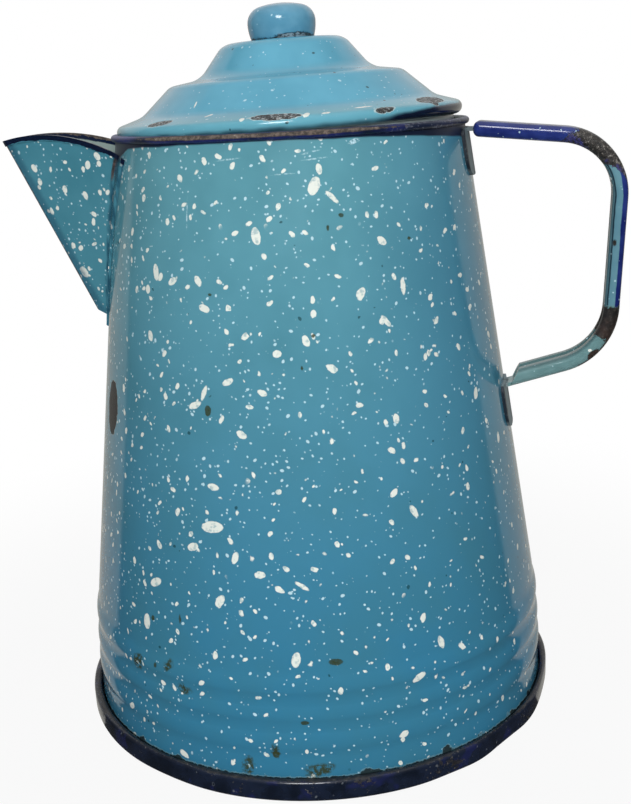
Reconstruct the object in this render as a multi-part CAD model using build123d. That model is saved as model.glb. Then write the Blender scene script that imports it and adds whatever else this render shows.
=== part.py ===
from build123d import *
import os
from math import acos, asin, atan, atan2, cos, degrees, pi, sin, sqrt, tan

# Enamel coffee pot, in millimetres, with +Z up.
# The origin is on the axis of the pot, in the plane that it stands on.
# Azimuths are in degrees from +X: the spout points along -X.
# A reach is a distance from the axis, and a height is measured from the table.
# A standoff is measured outward from the wall, and a drop down from the middle of the rim.

# Body shell, measured on its outside face
body_sheet = 1.0
rim_height = 212.0
mouth_radius = 61.2
cone_foot_radius = 84.3
cone_foot_height = 45.0
foot_flare = 2.5
rim_bead_radius = 1.4

# Ribs pressed into the wall above the foot
rib_count = 3
rib_pitch = 9.5
rib_width = 7.6
rib_proud = 0.9
top_rib_height = 39.0

# Base plate, whose edge is turned up and hemmed round the foot of the wall
base_sheet = 1.0
foot_ring_height = 7.6
foot_hem_slot = 1.15
foot_corner_radius = 1.2
seam_gap = 0.05

# Spout, one sheet folded to a V and open along the top
spout_azimuth = 180.0
spout_sheet = 0.9
spout_width = 48.4
spout_width_drop = 5.3
spout_projection = 40.0
lip_crest_setback = 14.2
lip_crest_rise = 2.7
lip_radius = 60.0
lip_hem_height = 2.0
lip_hem_proud = 0.5
fold_foot_standoff = 5.0
fold_foot_drop = 60.6
fold_radius = 1.9
underside_slope = 26.0
spout_flange = 3.2

# Strainer holes through the wall behind the spout
strainer_hole = 3.8
strainer_pitch = 6.2
strainer_row_pitch = 5.6
strainer_margin = 2.6
strainer_top_drop = 11.5

# Handle, a strap pressed to a channel with its edges curled in
handle_azimuth = -13.0
strap_sheet = 1.0
strap_width = 13.0
strap_depth = 5.3
strap_corner = 2.3
strap_slot = 4.0
strap_curl = 2.3
nose_standoff = 3.0
nose_drop = 2.8
grip_top_standoff = 52.0
grip_top_drop = 8.2
grip_foot_standoff = 37.9
grip_foot_drop = 80.8
tail_standoff = 1.9
tail_drop = 90.7
grip_top_bend = 20.5
grip_foot_bend = 22.0
nose_length = 4.5
nose_round = 2.1
tail_cut = 42.0
neck_width = 9.0
neck_sheet = 1.3

# Tabs at the ends of the handle, which lie on the wall
tab_width = 21.0
tab_length = 16.0
tab_round = 6.5
tab_shoulder = 2.5
tab_clearance = 0.9
wall_gap = 0.05

# Lid shell, a stepped dome with a rolled brim
lid_sheet = 0.9
lid_edge_setback = 1.1
brim_roll_radius = 2.4
brim_slope = 15.0
brim_lip = 0.6
first_rise_setback = 9.2
first_rise_height = 4.6
first_step_setback = 19.9
first_step_height = 14.0
second_rise_radius = 30.0
second_rise_height = 15.6
crown_radius = 21.0
crown_height = 26.6
rise_bend = 8.0
step_bend = 5.0
crown_bend = 6.0
lid_lean = 1.5
seat_gap = 0.05

# Collar under the lid
collar_sheet = 0.8
collar_depth = 12.0

# Knob, a hollow bun closed over a base disc, and its rivet
knob_sheet = 0.8
knob_radius = 11.8
knob_height = 12.2
knob_foot_tuck = 1.1
knob_shoulder_bend = 5.6
knob_crown_rise = 0.8
knob_turn_in = 2.2
knob_disc_sheet = 1.0
knob_gap = 0.05
rivet_radius = 2.0
rivet_head_radius = 3.8
rivet_head_height = 1.5
rivet_gap = 0.05

# Values that follow from those above
cone_slope = (cone_foot_radius - mouth_radius) / (rim_height - cone_foot_height)


def cone_radius(height):
    # Outside radius of the straight part of the wall
    return mouth_radius + (rim_height - height) * cone_slope


foot_wall_radius = cone_foot_radius + foot_flare
wall_foot_height = base_sheet + seam_gap
rim_bead_reach = mouth_radius - body_sheet + rim_bead_radius
band_top_height = rim_height - rim_bead_radius - tab_clearance
foot_hem_radius = base_sheet + foot_hem_slot / 2
foot_ring_radius = foot_wall_radius + seam_gap + 2 * foot_hem_radius
spout_width_height = rim_height - spout_width_drop
tip_reach = mouth_radius + spout_projection
lip_crest_reach = tip_reach - lip_crest_setback
lip_crest_height = rim_height + lip_crest_rise
lip_centre_height = lip_crest_height - lip_radius
tip_height = lip_centre_height + sqrt(lip_radius**2 - lip_crest_setback**2)
fold_foot_height = rim_height - fold_foot_drop
fold_foot_reach = cone_radius(fold_foot_height) + fold_foot_standoff
fold_slope = (tip_reach - fold_foot_reach) / (tip_height - fold_foot_height)
lid_edge_radius = rim_bead_reach - lid_edge_setback
brim_centre_radius = lid_edge_radius - brim_roll_radius
brim_rise = sqrt(
    (brim_roll_radius + rim_bead_radius + seat_gap) ** 2
    - (rim_bead_reach - brim_centre_radius) ** 2
)
brim_height = rim_height + brim_rise
hub_radius = rivet_radius + rivet_gap
knob_foot_radius = knob_radius - knob_foot_tuck
knob_belly_height = knob_height - knob_shoulder_bend - knob_crown_rise


def skirt_radius(height):
    # Outside radius of the wall between the ribs and the base
    share = (cone_foot_height - height) / (cone_foot_height - wall_foot_height)
    return cone_foot_radius + foot_flare * share


def fold_reach(height):
    # Reach of the outside of the spout's fold
    return tip_reach - (tip_height - height) * fold_slope


def wall_root(height, half_width):
    # Reach at which a line beside the axis meets the wall
    return sqrt(cone_radius(height) ** 2 - half_width**2)


# Each leaf runs from the wall to touch the round of the fold
leaf_rise = spout_width / 2
leaf_reach = fold_reach(spout_width_height) - wall_root(spout_width_height, leaf_rise) - fold_radius
leaf_angle = acos(fold_radius / sqrt(leaf_rise**2 + leaf_reach**2)) - atan(leaf_reach / leaf_rise)
spout_spread = tan(leaf_angle)
apex_reach = fold_radius / sin(leaf_angle) - fold_radius


def leaf_half(height, reach):
    # Half the width between the outsides of the leaves at that reach
    return spout_spread * (fold_reach(height) + apex_reach - reach)


def turned(profile):
    # A profile drawn as radius and height, turned about the axis
    return revolve(Plane.XZ * profile, Axis.Z)


def outline(points):
    # A face with straight sides
    return make_face(Polyline(*points, close=True))


def aimed(azimuth, shape):
    # A shape built along +X, swung round to its azimuth
    return Rot(0, 0, azimuth) * shape


def wall_line(inset):
    # One face of the body wall, from the base plate up to the rim
    here = (skirt_radius(wall_foot_height) - inset, wall_foot_height)
    line = []
    for number in reversed(range(rib_count)):
        middle = top_rib_height - number * rib_pitch
        low_height = middle - rib_width / 2
        high_height = middle + rib_width / 2
        low = (skirt_radius(low_height) - inset, low_height)
        crest = (skirt_radius(middle) + rib_proud - inset, middle)
        high = (skirt_radius(high_height) - inset, high_height)
        line.append(Line(here, low))
        line.append(ThreePointArc(low, crest, high))
        here = high
    shoulder = (cone_foot_radius - inset, cone_foot_height)
    line.append(Line(here, shoulder))
    line.append(Line(shoulder, (mouth_radius - inset, rim_height)))
    return line


def strainer_places():
    # Sideways offset and height of each hole: rows of odd and even counts in turn,
    # as many in each row as the inside of the spout leaves room for
    places = []
    height = rim_height - strainer_top_drop
    row = 0
    while height - strainer_hole > fold_foot_height:
        opening = leaf_half(height, cone_radius(height))
        reach = opening - strainer_margin
        start = (row % 2) * strainer_pitch / 2
        offset = start
        while offset <= reach:
            places.append((offset, height))
            if offset > 0:
                places.append((-offset, height))
            offset += strainer_pitch
        height -= strainer_row_pitch
        row += 1
    return places


def build_pot_body():
    outer = wall_line(0)
    inner = wall_line(body_sheet)
    foot = Line(inner[0] @ 0, outer[0] @ 0)
    top = Line(outer[-1] @ 1, inner[-1] @ 1)
    wall = make_face(Wire(outer + [top] + inner + [foot]))
    bead = Pos(rim_bead_reach, rim_height) * Circle(rim_bead_radius)
    shell = turned(wall + bead)
    punch_length = mouth_radius
    for offset, height in strainer_places():
        punch = Rot(0, 90, 0) * Cylinder(strainer_hole / 2, punch_length)
        middle = wall_root(height, offset)
        shell -= aimed(spout_azimuth, Pos(middle, offset, height) * punch)
    return shell


def build_base_plate():
    fold_height = foot_ring_height - foot_hem_radius
    hem_reach = foot_ring_radius - foot_hem_radius
    inside_reach = foot_wall_radius + seam_gap
    lift = 2 * base_sheet
    corner_reach = foot_ring_radius - foot_corner_radius
    corner = Pos(corner_reach, foot_corner_radius) * Circle(foot_corner_radius)
    disc = outline([(0, 0), (corner_reach, 0), (corner_reach, base_sheet), (0, base_sheet)])
    outer_wall = Pos(foot_ring_radius - base_sheet / 2, (foot_corner_radius + fold_height) / 2)
    outer_leaf = outer_wall * Rectangle(base_sheet, fold_height - foot_corner_radius)
    inner_wall = Pos(inside_reach + base_sheet / 2, (lift + fold_height) / 2)
    inner_leaf = inner_wall * Rectangle(base_sheet, fold_height - lift)
    ring = Circle(foot_hem_radius) - Circle(foot_hem_slot / 2)
    ring -= Pos(0, -foot_hem_radius) * Rectangle(4 * foot_hem_radius, 2 * foot_hem_radius)
    fold = Pos(hem_reach, fold_height) * ring
    return turned(disc + corner + outer_leaf + inner_leaf + fold)


def vee_prism(grow):
    # The V of the spout as a solid, standing clear of its outside faces by grow
    low_height = fold_foot_height - 4 * spout_flange
    high_height = lip_crest_height + 2 * spout_flange
    root = mouth_radius / 2
    sections = []
    for height in (low_height, high_height):
        apex = fold_reach(height) + apex_reach + grow / sin(leaf_angle)
        half = spout_spread * (apex - root)
        sides = FilletPolyline((root, -half), (apex, 0), (root, half), radius=[fold_radius + grow])
        back = Line(sides @ 1, sides @ 0)
        sections.append(Pos(0, 0, height) * make_face(Wire(sides.edges() + [back])))
    prism = loft(sections, ruled=True)
    slope = underside_slope * pi / 180
    up = Vector(-sin(slope), 0, cos(slope))
    start = Vector(fold_foot_reach, 0, fold_foot_height) - up * grow
    return split(prism, bisect_by=Plane(start, (0, 1, 0), up), keep=Keep.TOP)


def lip_cylinder(radius):
    # Everything below the arc of the spout's lip
    rod = Rot(90, 0, 0) * Cylinder(radius, 4 * spout_width)
    return Pos(lip_crest_reach, 0, lip_centre_height) * rod


def wall_core():
    # The body as a plain solid cone, with the gap that fitted pieces keep
    low = cone_foot_height
    high = rim_height
    points = [
        (0, low),
        (cone_radius(low) + wall_gap, low),
        (cone_radius(high) + wall_gap, high),
        (0, high),
    ]
    return turned(outline(points))


def wall_layer(sheet):
    # A sheet that lies on the straight part of the wall all round
    low = cone_foot_height
    high = band_top_height
    points = [
        (cone_radius(low) + wall_gap, low),
        (cone_radius(low) + wall_gap + sheet, low),
        (cone_radius(high) + wall_gap + sheet, high),
        (cone_radius(high) + wall_gap, high),
    ]
    return turned(outline(points))


def build_spout():
    hem_band = lip_cylinder(lip_radius) - lip_cylinder(lip_radius - lip_hem_height)
    hem = vee_prism(lip_hem_proud) & hem_band
    sheet = vee_prism(0) & lip_cylinder(lip_radius)
    leaves = (sheet + hem) - wall_core()
    flange = vee_prism(spout_flange) & wall_layer(spout_sheet) & lip_cylinder(lip_radius)
    spout = leaves + flange - vee_prism(-spout_sheet)
    return aimed(spout_azimuth, spout)


def channel_section(filled):
    # The strap's section: its web is on +Y, and the slot between the curled edges on -Y
    deep = strap_depth / 2
    whole = RectangleRounded(strap_width, strap_depth, strap_corner)
    if filled:
        return whole
    inner_corner = strap_corner - strap_sheet
    inside = RectangleRounded(
        strap_width - 2 * strap_sheet, strap_depth - 2 * strap_sheet, inner_corner
    )
    section = whole - inside - Pos(0, -deep) * Rectangle(strap_slot, strap_depth)
    for side in (-1, 1):
        edge = side * (strap_slot + strap_sheet) / 2
        section += Pos(edge, -deep + strap_curl / 2) * Rectangle(strap_sheet, strap_curl)
    return section


def handle_tab(top_height):
    # A tongue that lies on the wall below top_height, square above and rounded below
    lower = top_height - tab_length
    shape = Rectangle(tab_width, tab_length)
    low_corners = shape.vertices().group_by(Axis.Y)[0]
    shape = fillet(low_corners, tab_round)
    high_corners = shape.vertices().group_by(Axis.Y)[-1]
    shape = fillet(high_corners, tab_shoulder)
    middle = (top_height + lower) / 2
    face = Plane((0, 0, middle), (0, 1, 0), (1, 0, 0)) * shape
    return extrude(face, 2 * cone_foot_radius) & wall_layer(strap_sheet)


def handle_neck(start, heading):
    # The strap drawn in to a thin neck, which runs on to the wall from a start inside the strap
    length = start.X - cone_radius(start.Z) + strap_depth
    neck = Pos(0, 0, length / 2) * Box(neck_width, neck_sheet, length)
    return Plane(start, (0, 1, 0), heading) * neck


def wall_point(standoff, drop):
    # A point of the handle's middle line, placed from the wall and the rim
    height = rim_height - drop
    return Vector(cone_radius(height) + standoff, 0, height)


def build_handle():
    path = FilletPolyline(
        wall_point(nose_standoff, nose_drop),
        wall_point(grip_top_standoff, grip_top_drop),
        wall_point(grip_foot_standoff, grip_foot_drop),
        wall_point(tail_standoff, tail_drop),
        radius=[grip_top_bend, grip_foot_bend],
    )
    start = Plane(path @ 0, (0, 1, 0), path % 0)
    channel = sweep(start * channel_section(False), path)
    nose = extrude(start * channel_section(True), nose_length)
    nose_rim = nose.faces().sort_by(Axis.X)[0].edges()
    nose = fillet(nose_rim, nose_round)
    channel = split(channel, bisect_by=start.offset(nose_length / 2), keep=Keep.TOP)
    # The curled edges are cut back at a slant at the lower end
    tail = path @ 1
    heading = path % 1
    slant = tail_cut * pi / 180
    outward = heading.cross(Vector(0, 1, 0))
    web = tail + outward * (strap_depth / 2)
    beyond = heading * cos(slant) - outward * sin(slant)
    cut_reach = 4 * strap_depth
    waste = Pos(0, 0, cut_reach / 2) * Box(2 * strap_width, cut_reach, cut_reach)
    channel -= Plane(web, (0, 1, 0), beyond) * waste
    upper_start = Vector((path @ 0).X + nose_round, 0, band_top_height - neck_sheet / 2)
    upper_neck = handle_neck(upper_start, Vector(-1, 0, 0))
    lower_start = web - heading * neck_sheet - outward * (neck_sheet / 2)
    lower_neck = handle_neck(lower_start, heading)
    necks = (upper_neck + lower_neck) - wall_core()
    tabs = handle_tab(band_top_height) + handle_tab(web.Z + neck_sheet)
    return aimed(handle_azimuth, channel + nose + necks + tabs)


def lid_corners():
    # Corners of the outside of the dome, from the brim in to the crown
    slope = brim_slope * pi / 180
    start_radius = brim_centre_radius + brim_roll_radius * sin(slope)
    start_height = brim_roll_radius * cos(slope)
    return [
        (start_radius, start_height),
        (lid_edge_radius - first_rise_setback, first_rise_height),
        (lid_edge_radius - first_step_setback, first_step_height),
        (second_rise_radius, second_rise_height),
        (crown_radius, crown_height),
        (hub_radius, crown_height),
    ]


def inset_corners(points, distance):
    # The same corners moved in by a sheet's thickness, square to each side
    moved = []
    headings = []
    for first, second in zip(points, points[1:]):
        headings.append((Vector(*second) - Vector(*first)).normalized())
    for number, point in enumerate(points):
        before = headings[max(number - 1, 0)]
        after = headings[min(number, len(headings) - 1)]
        square_before = Vector(before.Y, -before.X)
        square_after = Vector(after.Y, -after.X)
        middle = (square_before + square_after).normalized()
        depth = distance / middle.dot(square_before)
        moved.append(Vector(*point) - middle * depth)
    return moved


def dome_line(inset):
    # One face of the dome, from the brim in to the rivet hole
    points = inset_corners(lid_corners(), inset)
    bends = [rise_bend + inset, step_bend - inset, rise_bend + inset, crown_bend - inset]
    return FilletPolyline(*points, radius=bends)


def build_lid_shell():
    # The sheet rolls over the brim and turns back under it
    outer = dome_line(0)
    inner = dome_line(lid_sheet)
    hollow = brim_roll_radius - lid_sheet
    lip_radius_in = brim_centre_radius - brim_lip
    outer_under = (brim_centre_radius, -brim_roll_radius)
    inner_under = (brim_centre_radius, -hollow)
    outer_side = (lid_edge_radius, 0)
    inner_side = (brim_centre_radius + hollow, 0)
    edges = [
        Line(inner @ 1, outer @ 1),
        ThreePointArc(outer @ 0, outer_side, outer_under),
        Line(outer_under, (lip_radius_in, -brim_roll_radius)),
        Line((lip_radius_in, -brim_roll_radius), (lip_radius_in, -hollow)),
        Line((lip_radius_in, -hollow), inner_under),
        ThreePointArc(inner @ 0, inner_side, inner_under),
    ]
    profile = make_face(Wire(outer.edges() + inner.edges() + edges))
    return Pos(0, 0, brim_height) * turned(profile)


def build_lid_collar():
    # Its turned-out edge rests in the rolled brim, and its wall drops into the mouth
    hollow = brim_roll_radius - lid_sheet
    rest = -hollow + seat_gap
    reach = brim_centre_radius + sqrt(hollow**2 - rest**2) - seat_gap
    outside = brim_centre_radius - brim_lip - seat_gap
    inside = outside - collar_sheet
    foot = rest - collar_depth
    points = [
        (inside, foot),
        (outside, foot),
        (outside, rest),
        (reach, rest),
        (reach, rest + collar_sheet),
        (inside, rest + collar_sheet),
    ]
    return Pos(0, 0, brim_height) * turned(outline(points))


def bun_line(inset):
    # One face of the bun, from its foot up to the middle of its top, as three arcs
    # that run smoothly into each other
    side_curve = (knob_foot_tuck**2 + knob_belly_height**2) / (2 * knob_foot_tuck)
    shoulder_reach = knob_radius - knob_shoulder_bend
    top_span = shoulder_reach**2 + knob_crown_rise**2
    top_curve = knob_shoulder_bend + top_span / (2 * knob_crown_rise)
    top_centre = knob_height - top_curve
    join = degrees(atan2(knob_belly_height - top_centre, shoulder_reach))
    fall = degrees(asin(knob_belly_height / (side_curve - inset)))
    side_centre = (knob_radius - side_curve, knob_belly_height)
    shoulder_centre = (shoulder_reach, knob_belly_height)
    side = CenterArc(side_centre, side_curve - inset, -fall, fall)
    shoulder = CenterArc(shoulder_centre, knob_shoulder_bend - inset, 0, join)
    top = CenterArc((0, top_centre), top_curve - inset, join, 90 - join)
    return [side, shoulder, top]


def bun_solid(inset):
    # The bun filled down to its foot
    line = bun_line(inset)
    foot = line[0] @ 0
    top = line[-1] @ 1
    return turned(make_face(Wire(line + [Line(top, (0, 0)), Line((0, 0), foot)])))


def build_lid_knob():
    turn_in = Cylinder(knob_foot_radius, knob_sheet) - Cylinder(
        knob_foot_radius - knob_sheet - knob_turn_in, knob_sheet
    )
    foot_ring = bun_solid(0) & Pos(0, 0, knob_sheet / 2) * turn_in
    bun = bun_solid(0) - bun_solid(knob_sheet) + foot_ring
    return Pos(0, 0, brim_height + crown_height) * bun


def build_knob_base():
    # The disc that the bun is closed over
    radius = knob_foot_radius - knob_sheet - knob_gap
    disc = Cylinder(radius, knob_disc_sheet) - Cylinder(hub_radius, knob_disc_sheet)
    height = brim_height + crown_height + knob_sheet + knob_disc_sheet / 2
    return Pos(0, 0, height) * disc


def rivet_head(height, rise):
    # The domed line of a head, from its edge in to its middle
    head_curve = (rivet_head_radius**2 + rise**2) / (2 * abs(rise))
    half_radius = rivet_head_radius / 2
    half_rise = abs(rise) - head_curve + sqrt(head_curve**2 - half_radius**2)
    half_height = height + half_rise * rise / abs(rise)
    return ThreePointArc((rivet_head_radius, height), (half_radius, half_height), (0, height + rise))


def build_knob_rivet():
    # One head stands on the disc inside the bun, the other is spread under the crown
    top = brim_height + crown_height + knob_sheet + knob_disc_sheet
    bottom = brim_height + crown_height - lid_sheet
    upper = rivet_head(top, rivet_head_height)
    lower = rivet_head(bottom, -rivet_head_height)
    shank = Polyline(
        (rivet_head_radius, top),
        (rivet_radius, top),
        (rivet_radius, bottom),
        (rivet_head_radius, bottom),
    )
    middle = Line(upper @ 1, lower @ 1)
    return turned(make_face(Wire([upper, lower, middle] + shank.edges())))


def seated(shape):
    # The worn lid sits a little cocked: down on the rim at the spout, up at the handle
    hinge_line = Axis((-rim_bead_reach, 0, rim_height), (0, 1, 0))
    return shape.rotate(hinge_line, -lid_lean)


def main():
    os.makedirs("parts", exist_ok=True)
    export_step(build_pot_body(), "parts/pot_body.step")
    export_step(build_base_plate(), "parts/base_plate.step")
    export_step(build_spout(), "parts/spout.step")
    export_step(build_handle(), "parts/handle.step")
    export_step(seated(build_lid_shell()), "parts/lid_shell.step")
    export_step(seated(build_lid_collar()), "parts/lid_collar.step")
    export_step(seated(build_lid_knob()), "parts/lid_knob.step")
    export_step(seated(build_knob_base()), "parts/knob_base.step")
    export_step(seated(build_knob_rivet()), "parts/knob_rivet.step")


main()
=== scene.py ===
import math

import bmesh
import bpy
from mathutils import Euler, Matrix, Vector


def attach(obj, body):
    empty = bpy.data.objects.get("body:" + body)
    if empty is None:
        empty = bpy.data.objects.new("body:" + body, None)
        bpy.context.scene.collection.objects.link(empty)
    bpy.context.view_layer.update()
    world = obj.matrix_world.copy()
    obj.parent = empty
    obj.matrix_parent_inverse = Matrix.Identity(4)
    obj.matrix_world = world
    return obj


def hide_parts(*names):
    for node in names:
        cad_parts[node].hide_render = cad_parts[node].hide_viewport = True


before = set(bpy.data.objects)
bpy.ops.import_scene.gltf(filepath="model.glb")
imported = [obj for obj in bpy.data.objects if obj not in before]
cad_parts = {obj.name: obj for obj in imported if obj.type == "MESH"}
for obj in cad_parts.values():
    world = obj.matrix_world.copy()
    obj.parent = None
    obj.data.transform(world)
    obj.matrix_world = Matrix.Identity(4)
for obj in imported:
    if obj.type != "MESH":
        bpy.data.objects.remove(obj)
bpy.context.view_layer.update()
print("frame loaded with", len(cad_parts), "nodes")

mm = 0.001
upright = Vector((0, 0, 1))


# Shader arithmetic: a wire is one output of a node, and sums on wires add Math nodes.
class Wire:
    def __init__(self, graph, socket):
        self.graph = graph
        self.socket = socket

    def math(self, operation, *others):
        values = dict(enumerate((self,) + others))
        return self.graph.node("Math", {"operation": operation}, values)

    def output(self, name):
        return Wire(self.graph, self.socket.node.outputs[name])

    def __add__(self, other):
        return self.math("ADD", other)

    __radd__ = __add__

    def __mul__(self, other):
        return self.math("MULTIPLY", other)

    __rmul__ = __mul__

    def __sub__(self, other):
        return self.math("SUBTRACT", other)

    def __rsub__(self, other):
        return self.graph.node("Math", {"operation": "SUBTRACT"}, {0: other, 1: self})

    def __truediv__(self, other):
        return self.math("DIVIDE", other)

    def __rtruediv__(self, other):
        return self.graph.node("Math", {"operation": "DIVIDE"}, {0: other, 1: self})

    def larger(self, other):
        return self.math("MAXIMUM", other)

    def smaller(self, other):
        return self.math("MINIMUM", other)

    def size(self):
        return self.math("ABSOLUTE")

    def root(self):
        return self.math("SQRT")

    def step(self, low, high):
        # 0 below low, 1 above high and smooth between; with low above high it falls instead
        flip = low > high
        span = {"Value": self, "From Min": min(low, high), "From Max": max(low, high)}
        span.update({"To Min": 1.0 if flip else 0.0, "To Max": 0.0 if flip else 1.0})
        return self.graph.node("MapRange", {"interpolation_type": "SMOOTHSTEP"}, span)


# A node tree, and the one way that nodes get into it
class Graph:
    def __init__(self, tree):
        self.tree = tree
        tree.nodes.clear()

    def node(self, kind, settings=None, values=None, output=0):
        made = self.tree.nodes.new("ShaderNode" + kind)
        for key, value in (settings or {}).items():
            setattr(made, key, value)
        for key, value in (values or {}).items():
            if isinstance(value, Wire):
                self.tree.links.new(value.socket, made.inputs[key])
            else:
                made.inputs[key].default_value = value
        return Wire(self, made.outputs[output]) if made.outputs else None

    def vector(self, operation, first, second=None, scale=None, output=0):
        values = {0: first}
        if second is not None:
            values[1] = second
        if scale is not None:
            values["Scale"] = scale
        return self.node("VectorMath", {"operation": operation}, values, output)

    def dot(self, first, second):
        return self.vector("DOT_PRODUCT", first, second, output="Value")

    def split(self, wire):
        parts = self.node("SeparateXYZ", {}, {0: wire})
        return parts, parts.output("Y"), parts.output("Z")

    def join(self, across, deep, high):
        return self.node("CombineXYZ", {}, {"X": across, "Y": deep, "Z": high})

    def mix(self, factor, under, over):
        settings = {"data_type": "RGBA", "clamp_factor": True}
        return self.node("Mix", settings, {0: factor, 6: under, 7: over}, output=2)


# Every spot: how far its long axis may turn, its least size and what chance adds to that,
# the softness of its edge, and how far one seed moves the pattern
spotSettings = {"turn": 2.6, "least": 0.5, "more": 0.7, "soft": 0.1, "shift": (1.0, 0.37, 1.9)}


# One material. Lengths inside are millimetres.
class Paint(Graph):
    def __init__(self, name, lean=None):
        self.material = bpy.data.materials.new(name)
        self.material.use_nodes = True
        super().__init__(self.material.node_tree)
        place = self.node("TexCoord", output="Object")
        self.place = self.vector("SCALE", place, scale=1 / mm)
        if lean:
            level = {"Center": lean["leanLine"], "Angle": math.radians(lean["lean"])}
            level["Vector"] = self.place
            self.place = self.node("VectorRotate", {"rotation_type": "Y_AXIS"}, level)
        self.x, self.y, self.z = self.split(self.place)
        self.radius = (self.x * self.x + self.y * self.y).root()
        self.azimuth = self.y.math("ARCTAN2", self.x)
        self.outward = self.vector("NORMALIZE", self.join(self.x, self.y, 0.0))
        self.normal = self.node("NewGeometry", output="Normal")
        self.colour = None  # what has been laid on so far

    def lay(self, share, colour):
        self.colour = self.mix(share, self.colour, colour)

    def noise(self, size, detail=2.0, rough=0.5, where=None, output=0):
        values = {"Vector": where or self.place, "Scale": 1 / size}
        values.update({"Detail": detail, "Roughness": rough})
        return self.node("TexNoise", {"noise_dimensions": "3D"}, values, output)

    def patchy(self, cloud, first, second):
        # a glaze in two shades, in patches
        return self.mix(cloud.step(0.35, 0.65), first, second)

    def warped(self, size, reach, detail=2.0):
        # the place on the surface, pushed about by a noise of that size
        push = self.vector("SUBTRACT", self.noise(size, detail, output="Color"), (0.5, 0.5, 0.5))
        return self.vector("ADD", self.place, self.vector("SCALE", push, scale=2 * reach))

    def spots(self, where, cell, size, share, stretch, seed=0.0):
        # at most one spot in each cell, drawn out along a line that turns from cell to cell
        shift = tuple(part * seed for part in spotSettings["shift"])
        shifted = self.vector("ADD", self.vector("SCALE", where, scale=1 / cell), shift)
        values = {"Vector": shifted, "Scale": 1.0}
        cells = self.node("TexVoronoi", {"voronoi_dimensions": "3D"}, values, "Position")
        red, green, blue = self.split(cells.output("Color"))
        offset = self.vector("SCALE", self.vector("SUBTRACT", shifted, cells), scale=cell)
        turn = {"Axis": self.outward, "Angle": (green - 0.5) * spotSettings["turn"]}
        turn["Vector"] = offset
        turned = self.node("VectorRotate", {"rotation_type": "AXIS_ANGLE"}, turn)
        along = self.split(turned)[2]
        reach = (self.dot(offset, offset) - along * along * (1 - 1 / stretch**2)).root()
        limit = (red * spotSettings["more"] + spotSettings["least"]) * size
        kept = (share - blue).step(0.0, 0.02)
        return (limit - reach).step(-spotSettings["soft"], spotSettings["soft"]) * kept

    def marks(self, places, across, up, size, push, seed=(0.0, 0.0, 0.0)):
        # how deep a place lies inside the listed ovals, and below 0 outside them all;
        # an oval is where it lies across and up, its half length, half width and tilt
        shake = self.split(self.noise(size, 3, 0.6, self.vector("ADD", self.place, seed), "Color"))
        across = across + (shake[0] - 0.5) * (2 * push)
        up = up + (shake[1] - 0.5) * (2 * push)
        squares = self.join(across * across, across * up, up * up)
        plain = self.join(across, up, 1.0)
        found = None
        for middle, level, length, width, tilt in places:
            turn = math.radians(tilt)
            first = Vector((math.cos(turn), math.sin(turn))) / length
            other = Vector((-math.sin(turn), math.cos(turn))) / width
            scale = -width / 2
            both = scale * (first.x**2 + other.x**2)
            cross = 2 * scale * (first.x * first.y + other.x * other.y)
            high = scale * (first.y**2 + other.y**2)
            still = both * middle**2 + cross * middle * level + high * level**2 - scale
            shift = (-2 * both * middle - cross * level, -2 * high * level - cross * middle, still)
            inside = self.dot(squares, (both, cross, high)) + self.dot(plain, shift)
            found = inside if found is None else found.larger(inside)
        return found

    def finish(self, rough, height, metallic=0.0):
        bump = self.node("Bump", {}, {"Height": height, "Strength": 1.0, "Distance": mm})
        values = {"Base Color": self.colour, "Roughness": rough, "Metallic": metallic, "IOR": 1.5}
        surface = self.node("BsdfPrincipled", {}, {**values, "Normal": bump})
        self.node("OutputMaterial", {}, {"Surface": surface})
        return self.material


def unrolled(places, reach):
    # ovals whose first number is an azimuth, as ovals on the unrolled girth at that reach
    return [(math.radians(place[0]) * reach,) + place[1:] for place in places]


def screen(red, green, blue):
    # a colour as it shows on a screen, 0 to 255, in the shader's linear numbers
    def linear(shown):
        part = shown / 255
        return part / 12.92 if part <= 0.04045 else ((part + 0.055) / 1.055) ** 2.4

    return (linear(red), linear(green), linear(blue), 1.0)


def grey(level):
    return (level, level, level, 1.0)


def dress(node, material):
    # a CAD node keeps its mesh and gets a finish
    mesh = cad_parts[node].data
    mesh.materials.clear()
    mesh.materials.append(material)


# Camera: in front of the pot and a little above it; lengths in mm, turns in degrees
cameraSettings = {
    "place": (0, -402.7, 224.6),
    "pitch": 15.768,
    "yaw": 0.516,
    "roll": 3.146,
    "lens": 49.43,
    "sensor": 36,
    "nearest": 0.01,
}


def placeCamera(settings):
    data = bpy.data.cameras.new("camera")
    data.lens = settings["lens"]
    data.sensor_width = settings["sensor"]
    data.clip_start = settings["nearest"]
    camera = bpy.data.objects.new("camera", data)
    aim = Euler((math.radians(90 - settings["pitch"]), 0, -math.radians(settings["yaw"])))
    camera.matrix_world = (
        Matrix.Translation(Vector(settings["place"]) * mm)
        @ aim.to_matrix().to_4x4()
        @ Matrix.Rotation(-math.radians(settings["roll"]), 4, "Z")
    )
    bpy.context.scene.collection.objects.link(camera)
    bpy.context.scene.camera = camera


placeCamera(cameraSettings)
bpy.context.scene.view_settings.view_transform = "Standard"
print("camera placed")


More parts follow.
